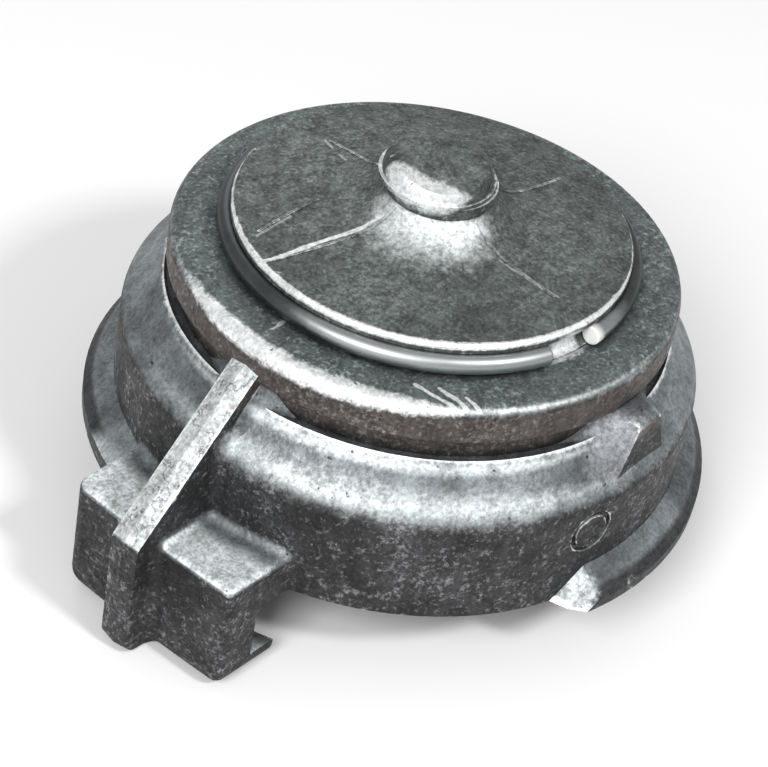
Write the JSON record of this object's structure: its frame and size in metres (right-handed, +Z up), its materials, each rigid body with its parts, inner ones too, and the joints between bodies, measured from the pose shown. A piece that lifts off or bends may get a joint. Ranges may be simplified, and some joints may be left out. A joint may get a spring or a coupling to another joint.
{
  "type": "quarter turn claw coupling blank cap",
  "caption": "Blank cap of a quarter turn fire hose claw coupling: hooked bayonet ring that swivels on a gasketed plug with a knob.",
  "frame": {"origin": "on the swivel axis, in the plane of the two claw tips", "axes": "+Z up along the swivel axis towards the knob, X through the two claws, Y across them"},
  "size_m": [0.098, 0.0804, 0.0523],
  "materials": {
    "ring_casting": "weathered sand casting, dark skin with bright worn edges",
    "plug_casting": "weathered casting, dark greenish grey, fine speckle",
    "spring_wire": "smooth dark spring wire",
    "gasket_rubber": "matt black nitrile rubber"
  },
  "bodies": {
    "ring": {"bayonet_ring": "ring_casting"},
    "plug": {"cap_plug": "plug_casting", "snap_ring": "spring_wire", "gasket": "gasket_rubber"}
  },
  "joints": [
    {"name": "plug_swivel", "type": "hinge", "parent": "ring", "child": "plug", "pos_m": [0, 0, 0.03], "axis": [0, 0, 1], "continuous": true}
  ]
}
